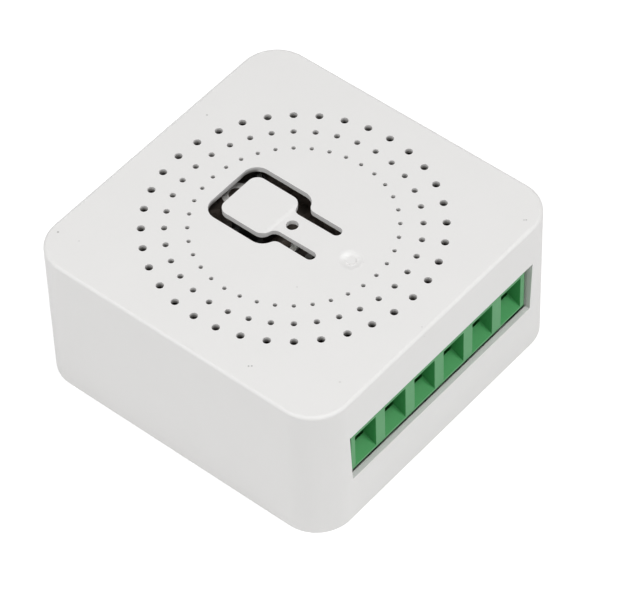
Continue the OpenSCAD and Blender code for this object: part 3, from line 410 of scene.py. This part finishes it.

# %% [markdown]
# The terminal block is a tougher plastic, dyed green. Its funnels are drawn smooth by the mould's cores,
# while the front of the mould was sparked rough, so the front face is rougher, and it is painted paler: a
# painted sheen. The mask for both is the part of the true normal that points to the front (-Y).

# %% Finish: terminal plastic
TERMINAL_GREEN = (0.048, 0.325, 0.09, 1)
FRONT_SHEEN_GREEN = (0.125, 0.36, 0.165, 1)
EDGE_HIGHLIGHT_GREEN = (0.25, 0.55, 0.30, 1)
FRONT_ROUGHER = 0.12
tree, surface = start_finish("terminal_plastic")
skin = place_group(tree, moulded_surface, Colour=TERMINAL_GREEN, Mottle=0.1, Grain_per_mm=4.0,
                   Roughness=0.42, Gloss_change=0.16)
wear_and_highlight_mask = place_group(tree, edge_wear_and_highlight, Reach=0.12 * MM, Breakup_per_mm=1.2)["Mask"]
facing = tree.nodes.new("ShaderNodeNewGeometry")
front = ramp(tree, vectors(tree, "DOT_PRODUCT", facing.outputs["True Normal"], (0, -1, 0)), 0.8, 0.97)
# Painted sheen: the front face is tinted paler because of the way it faces.
front_sheen = tint(tree, maths(tree, "MULTIPLY", front, 0.7), skin["Colour"], FRONT_SHEEN_GREEN)
# Painted highlight: the terminal block's edges are tinted paler.
tree.links.new(tint(tree, maths(tree, "MULTIPLY", wear_and_highlight_mask, 0.3), front_sheen, EDGE_HIGHLIGHT_GREEN), surface["Base Color"])
tree.links.new(maths(tree, "MULTIPLY_ADD", front, FRONT_ROUGHER, skin["Roughness"]), surface["Roughness"])
surface["IOR"].default_value = 1.5
relief(tree, surface, skin["Height"], 0.004)
print("terminal_plastic is dyed green")

# %% [markdown]
# The remaining mouldings, resins and ceramics differ only in their values, so a table and one loop make
# them. The columns are colour, mottle, grain per millimetre, roughness and the grain's depth in
# millimetres.

# %% Finishes: other mouldings
DUST_COLOUR = (0.3, 0.29, 0.27, 1)
RUBBED_KEEPS = 0.75
RUBBED_LIFT = 0.12
MOULDINGS = {
    "base_plastic": ((0.79, 0.78, 0.765, 1), 0.04, 5.0, 0.46, 0.004),
    "relay_plastic": ((0.014, 0.014, 0.016, 1), 0.3, 5.0, 0.42, 0.003),
    "bobbin_plastic": ((0.52, 0.46, 0.34, 1), 0.1, 6.0, 0.5, 0.003),
    "switch_plastic": ((0.012, 0.012, 0.012, 1), 0.3, 8.0, 0.4, 0.002),
    "light_plastic": ((0.75, 0.74, 0.70, 1), 0.05, 9.0, 0.4, 0.001),
    "can_sleeve": ((0.012, 0.02, 0.07, 1), 0.25, 3.0, 0.32, 0.002),
    "film_resin": ((0.62, 0.40, 0.05, 1), 0.12, 4.0, 0.45, 0.004),
    "varistor_resin": ((0.05, 0.15, 0.42, 1), 0.2, 2.2, 0.3, 0.02),
    "fuse_coat": ((0.28, 0.33, 0.20, 1), 0.2, 3.0, 0.45, 0.01),
    "ferrite": ((0.03, 0.03, 0.034, 1), 0.4, 10.0, 0.6, 0.004),
    "chip_resin": ((0.016, 0.016, 0.017, 1), 0.3, 9.0, 0.55, 0.004),
    "chip_ceramic": ((0.27, 0.26, 0.25, 1), 0.3, 8.0, 0.5, 0.003),
}
for name, (colour, mottle, per_mm, roughness, depth) in MOULDINGS.items():
    tree, surface = start_finish(name)
    skin = place_group(tree, moulded_surface, Colour=colour, Mottle=mottle, Grain_per_mm=per_mm,
                       Roughness=roughness, Gloss_change=0.14)
    wear_and_highlight_mask = place_group(tree, edge_wear_and_highlight, Reach=0.1 * MM, Breakup_per_mm=1.5)["Mask"]
    dust = place_group(tree, stray_specks, Cells_per_mm=0.6, Share=0.15, Size=0.05)["Mask"]
    paler = tuple(min(1.0, RUBBED_KEEPS * part + RUBBED_LIFT) for part in colour[:3]) + (1,)
    rubbed = tint(tree, maths(tree, "MULTIPLY", wear_and_highlight_mask, 0.4), skin["Colour"], paler)
    dusty = tint(tree, maths(tree, "MULTIPLY", dust, 0.3), rubbed, DUST_COLOUR)
    tree.links.new(dusty, surface["Base Color"])
    tree.links.new(skin["Roughness"], surface["Roughness"])
    relief(tree, surface, skin["Height"], depth)
print("mouldings:", ", ".join(MOULDINGS))

# %% [markdown]
# The metals share a table too: colour, the lines per millimetre along each axis, roughness and line
# depth. A metal keeps Metallic at 1, and its rubbed edges are smoother than its faces.

# %% Finishes: metals
METALS = {
    "terminal_metal": ((0.74, 0.72, 0.68, 1), (6.0, 0.8, 6.0), 0.34, 0.002),
    "screw_steel": ((0.60, 0.61, 0.62, 1), (5.0, 5.0, 1.5), 0.32, 0.003),
    "cage_steel": ((0.66, 0.64, 0.58, 1), (5.0, 5.0, 0.8), 0.3, 0.002),
    "soft_iron": ((0.36, 0.35, 0.34, 1), (4.0, 4.0, 0.8), 0.42, 0.004),
    "contact_brass": ((0.74, 0.50, 0.19, 1), (5.0, 5.0, 0.8), 0.3, 0.002),
    "contact_silver": ((0.85, 0.84, 0.80, 1), (4.0, 4.0, 4.0), 0.26, 0.002),
    "switch_metal": ((0.68, 0.68, 0.67, 1), (1.0, 7.0, 7.0), 0.28, 0.001),
    "shield_metal": ((0.64, 0.63, 0.59, 1), (0.7, 6.0, 6.0), 0.34, 0.002),
    "tinned_wire": ((0.72, 0.71, 0.69, 1), (6.0, 6.0, 0.6), 0.3, 0.002),
    "solder": ((0.68, 0.68, 0.70, 1), (2.0, 2.0, 2.0), 0.24, 0.006),
}
for name, (colour, lines_per_mm, roughness, depth) in METALS.items():
    tree, surface = start_finish(name)
    skin = place_group(tree, drawn_metal, Colour=colour, Lines_per_mm=lines_per_mm, Roughness=roughness,
                       Gloss_change=0.2)
    wear_and_highlight_mask = place_group(tree, edge_wear_and_highlight, Reach=0.08 * MM, Breakup_per_mm=2.0)["Mask"]
    tree.links.new(skin["Colour"], surface["Base Color"])
    tree.links.new(maths(tree, "MULTIPLY_ADD", wear_and_highlight_mask, POLISH, skin["Roughness"]), surface["Roughness"])
    surface["Metallic"].default_value = 1.0
    relief(tree, surface, skin["Height"], depth)
print("metals:", ", ".join(METALS))

# %% [markdown]
# The boards are black lacquer over glass cloth and copper. The lanes stand up by a few hundredths of a
# millimetre and look darker. The main board also carries a plain ring, printed in white.

# %% Finishes: boards
RING_WHITE = (0.95, 0.94, 0.91, 1)
RING_PLACE = (1.9, 9.87, board_top / MM)
RING_OUTER = 1.77
RING_INNER = 0.95
LANE_DEPTH_MM = 0.03
OVER_COPPER = (0.022, 0.019, 0.015, 1)
BOARD_DUST = (0.35, 0.34, 0.32, 1)
BOARDS = {"board_mask": (0.10, 0.08, 0.068, 1), "radio_mask": (0.01, 0.013, 0.02, 1)}
for name, colour in BOARDS.items():
    tree, surface = start_finish(name)
    skin = place_group(tree, moulded_surface, Colour=colour, Mottle=0.4, Grain_per_mm=5.0, Roughness=0.35,
                       Gloss_change=0.15)
    lane = place_group(tree, lacquered_lanes, Swing_per_block=16.0)["Lane"]
    dust = place_group(tree, stray_specks, Cells_per_mm=0.7, Share=0.2, Size=0.06)["Mask"]
    over_copper = tint(tree, maths(tree, "MULTIPLY", lane, 0.5), skin["Colour"], OVER_COPPER)
    dusty = tint(tree, maths(tree, "MULTIPLY", dust, 0.35), over_copper, BOARD_DUST)
    if name == "board_mask":
        disc = place_group(tree, mark_at, Place=RING_PLACE, Radius=RING_OUTER, Softness=0.06)["Mask"]
        hole = place_group(tree, mark_at, Place=RING_PLACE, Radius=RING_INNER, Softness=0.06)["Mask"]
        dusty = tint(tree, maths(tree, "SUBTRACT", disc, hole), dusty, RING_WHITE)
    tree.links.new(dusty, surface["Base Color"])
    tree.links.new(skin["Roughness"], surface["Roughness"])
    relief(tree, surface, lane, LANE_DEPTH_MM)
print("boards:", ", ".join(BOARDS))

# %% [markdown]
# The coil and the choke are wound with enamelled wire, turn beside turn along their upright axis. A sine
# along Z rounds the turns, and the gaps between them are darkened with painted shade.

# %% Finish: coil copper
TURNS_PER_MM = 4.0
TURN_DEPTH_MM = 0.05
WIRE_COPPER = (0.62, 0.25, 0.10, 1)
GAP_SHADE = (0.13, 0.04, 0.015, 1)
tree, surface = start_finish("coil_copper")
height = tree.nodes.new("ShaderNodeSeparateXYZ")
tree.links.new(millimetres(tree), height.inputs[0])
turns = maths(tree, "SINE", maths(tree, "MULTIPLY", height.outputs["Z"], TURNS_PER_MM * 2 * math.pi))
skin = place_group(tree, drawn_metal, Colour=WIRE_COPPER, Lines_per_mm=(1.0, 1.0, 5.0),
                   Roughness=0.3, Gloss_change=0.15)
# Painted shade: the gaps between the turns get a darker colour.
tree.links.new(tint(tree, ramp(tree, turns, 0.2, -0.9), skin["Colour"], GAP_SHADE), surface["Base Color"])
tree.links.new(skin["Roughness"], surface["Roughness"])
surface["Metallic"].default_value = 0.8
relief(tree, surface, turns, TURN_DEPTH_MM)
print("coil_copper has", TURNS_PER_MM, "turns per mm")

# %% [markdown]
# The indicator's lens is clear epoxy, slightly milky. It keeps a plain transmission, and only its tint,
# its gloss and a very small waviness change over the surface.

# %% Finish: clear lens
tree, surface = start_finish("light_clear")
skin = place_group(tree, moulded_surface, Colour=(0.9, 0.92, 0.9, 1), Mottle=0.1, Grain_per_mm=4.0,
                   Roughness=0.12, Gloss_change=0.1)
tree.links.new(skin["Colour"], surface["Base Color"])
tree.links.new(skin["Roughness"], surface["Roughness"])
surface["Transmission Weight"].default_value = 0.8
surface["IOR"].default_value = 1.5
relief(tree, surface, skin["Height"], 0.002)
print("light_clear lets light through")

# %% [markdown]
# The record names a finish for every CAD node, so one loop dresses them all.

# %% Dress the CAD nodes
for row in frame["record"]["subparts"]:
    dressed = nodes[row["node"]]
    dressed.data.materials.clear()
    dressed.data.materials.append(finishes[row["material_slot"]])

# %% [markdown]
# CAD edges are perfectly sharp, and nothing moulded is. A chain of modifiers softens them and leaves the
# CAD mesh as it is: Weld joins the facets, a planar Decimate turns flat areas back into single faces,
# Bevel rounds each sharp edge, and Weighted Normal keeps the flat faces looking flat. Weighted Normal
# gives up on faces of only a few millionths of a square metre, so the chain first scales the mesh into
# millimetres and at its end scales it back. The table gives each bevel's width in millimetres.

# %% Soften the edges
WELD_MM = 0.0002
FLAT_ANGLE = math.radians(0.5)
SHARP_ANGLE = math.radians(35)
SOFT_EDGES = {
    "upper_case": 0.07, "base_cover": 0.08, "terminal_housing": 0.09, "main_board": 0.04,
    "relay_case": 0.15, "switch_body": 0.06, "switch_frame": 0.04, "switch_plunger": 0.06,
    "film_capacitor": 0.2, "converter_chip": 0.06, "bridge_rectifier": 0.08, "radio_shield": 0.12,
    "indicator_light": 0.05, "chip_parts": 0.04,
}
SOFT_EDGES.update({f"clamp_screw_{pole}": 0.05 for pole in range(1, 7)})
SOFT_EDGES.update({f"clamp_cage_{pole}": 0.08 for pole in range(1, 7)})


def scale_step(name, factor):
    tree = bpy.data.node_groups.new(name, "GeometryNodeTree")
    for way in ("INPUT", "OUTPUT"):
        tree.interface.new_socket(name="Geometry", in_out=way, socket_type="NodeSocketGeometry")
    smooth = tree.nodes.new("GeometryNodeSetShadeSmooth")
    rescale = tree.nodes.new("GeometryNodeTransform")
    rescale.inputs["Scale"].default_value = (factor, factor, factor)
    tree.links.new(tree.nodes.new("NodeGroupInput").outputs[0], smooth.inputs["Geometry"])
    tree.links.new(smooth.outputs[0], rescale.inputs["Geometry"])
    tree.links.new(rescale.outputs[0], tree.nodes.new("NodeGroupOutput").inputs[0])
    return tree


into_mm = scale_step("into_millimetres", 1 / MM)
back_to_m = scale_step("back_to_metres", MM)


def soften(piece, width_mm):
    piece.modifiers.new("into_millimetres", "NODES").node_group = into_mm
    weld = piece.modifiers.new("join_facets", "WELD")
    weld.merge_threshold = WELD_MM
    flat = piece.modifiers.new("flat_faces", "DECIMATE")
    flat.decimate_type = "DISSOLVE"
    flat.angle_limit = FLAT_ANGLE
    bevel_edge = piece.modifiers.new("soft_edge", "BEVEL")
    bevel_edge.width = width_mm
    bevel_edge.segments = 2
    bevel_edge.limit_method = "ANGLE"
    bevel_edge.angle_limit = SHARP_ANGLE
    bevel_edge.loop_slide = False
    even = piece.modifiers.new("even_normals", "WEIGHTED_NORMAL")
    even.keep_sharp = False
    piece.modifiers.new("back_to_metres", "NODES").node_group = back_to_m


for name, width_mm in SOFT_EDGES.items():
    soften(nodes[name], width_mm)
print("softened", len(SOFT_EDGES), "nodes")

# %% [markdown]
# On the real lid the key is one piece with the case: its neck bends. In CAD it is a body of its own with
# a hair gap at the neck's root.

# %% Make the key tongue
SKIN_REACH = 0.3 * MM
SKIN_RISE = 0.003 * MM
ROOT_BAND = 0.05 * MM
EDGE_ROUND_MM = 0.07
tongue_mesh = bpy.data.meshes.new("key_tongue")
work = bmesh.new()
work.from_mesh(nodes["push_key"].data)
bmesh.ops.remove_doubles(work, verts=work.verts, dist=WELD_MM * MM)
neck_half = max(corner.co.x for corner in work.verts if corner.co.y < neck_root_y + ROOT_BAND)
half = neck_half - EDGE_ROUND_MM * MM
near, far = neck_root_y - SKIN_REACH, neck_root_y + SKIN_REACH
skin_outline = ((-half, near), (half, near), (half, far), (-half, far))
work.faces.new([work.verts.new((x, y, lid_z + SKIN_RISE)) for x, y in skin_outline])
work.to_mesh(tongue_mesh)
work.free()
tongue = bpy.data.objects.new("key_tongue", tongue_mesh)
bpy.context.scene.collection.objects.link(tongue)
tongue_mesh.materials.clear()
tongue_mesh.materials.append(finishes["case_plastic"])
soften(tongue, EDGE_ROUND_MM)
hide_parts("push_key")
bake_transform(tongue)
print("key tongue has", len(tongue_mesh.vertices), "points")

# %% [markdown]
# The photograph's ground is pure white, as on a light table: a white sheet lit from below as well as
# above. The floor is therefore a little bright by itself, and a little brighter still where the camera
# looks straight at it, so that the contact shadow stays faint. A very wide sheet reaches past every view.
# Its underside is clear, so that the object can also be looked at from below.

# %% Lay the floor
FLOOR_GLOW = 0.38
CAMERA_GLOW = 0.30
FLOOR_RADIUS = 4.0
FLOOR_DROP = 0.05 * MM
floor_mesh = bpy.data.meshes.new("floor")
work = bmesh.new()
bmesh.ops.create_circle(work, cap_ends=True, segments=96, radius=FLOOR_RADIUS)
work.to_mesh(floor_mesh)
work.free()
floor = bpy.data.objects.new("floor", floor_mesh)
bpy.context.scene.collection.objects.link(floor)
tree, surface = start_finish("light_table")
skin = place_group(tree, moulded_surface, Colour=(0.5, 0.5, 0.5, 1), Mottle=0.02, Grain_per_mm=1.0,
                   Roughness=0.7, Gloss_change=0.05)
tree.links.new(skin["Colour"], surface["Base Color"])
tree.links.new(skin["Roughness"], surface["Roughness"])
surface["Emission Color"].default_value = (1, 1, 1, 1)
seen = tree.nodes.new("ShaderNodeLightPath")
glow = maths(tree, "MULTIPLY_ADD", seen.outputs["Is Camera Ray"], CAMERA_GLOW, FLOOR_GLOW)
tree.links.new(glow, surface["Emission Strength"])
surface["Specular IOR Level"].default_value = 0.1
side = tree.nodes.new("ShaderNodeNewGeometry").outputs["Backfacing"]
clear = tree.nodes.new("ShaderNodeBsdfTransparent").outputs["BSDF"]
one_sided = tree.nodes.new("ShaderNodeMixShader")
for socket, source in zip(one_sided.inputs, (side, tree.nodes["Principled BSDF"].outputs["BSDF"], clear)):
    tree.links.new(source, socket)
tree.links.new(one_sided.outputs["Shader"], tree.nodes["Material Output"].inputs["Surface"])
floor.location.z = -FLOOR_DROP
floor_mesh.materials.append(finishes["light_table"])
print("floor radius", FLOOR_RADIUS, "m")

# %% [markdown]
# Product photographs of white things use light from all sides, or the faces would fall to grey. A white
# world and the bright floor give a base of it, and soft boxes shape the rest: a large one overhead makes
# the lid the brightest face, one stands off the left wall, a small high one in front lights the funnels'
# floors and the window's sill, and a low one lights the terminal wall. Each row is a place and a width in
# metres, and watts.

# %% Light the studio
WORLD_STRENGTH = 0.24
SOFT_BOXES = {
    "overhead_box": ((0.0, 0.05, 0.70), 0.5, 0.8),
    "left_box": ((-0.50, 0.12, 0.50), 0.40, 2.1),
    "front_box": ((0.06, -0.30, 0.70), 0.20, 1.8),
    "terminal_box": ((0.17, -0.49, 0.17), 0.4, 0.7),
}
world = bpy.data.worlds.new("white_tent")
bpy.context.scene.world = world
world.use_nodes = True
sky = world.node_tree.nodes["Background"].inputs
sky["Color"].default_value = (1, 1, 1, 1)
sky["Strength"].default_value = WORLD_STRENGTH
for name, (where, size, power) in SOFT_BOXES.items():
    light = bpy.data.lights.new(name, "AREA")
    light.shape = "DISK"
    light.size = size
    light.energy = power
    box = bpy.data.objects.new(name, light)
    bpy.context.scene.collection.objects.link(box)
    box.location = where
    box.rotation_euler = (Vector(where) - aim).to_track_quat("Z", "Y").to_euler()
bpy.context.scene.view_settings.view_transform = "Standard"
bpy.context.scene.view_settings.look = "None"
print("lit by", ", ".join(SOFT_BOXES))
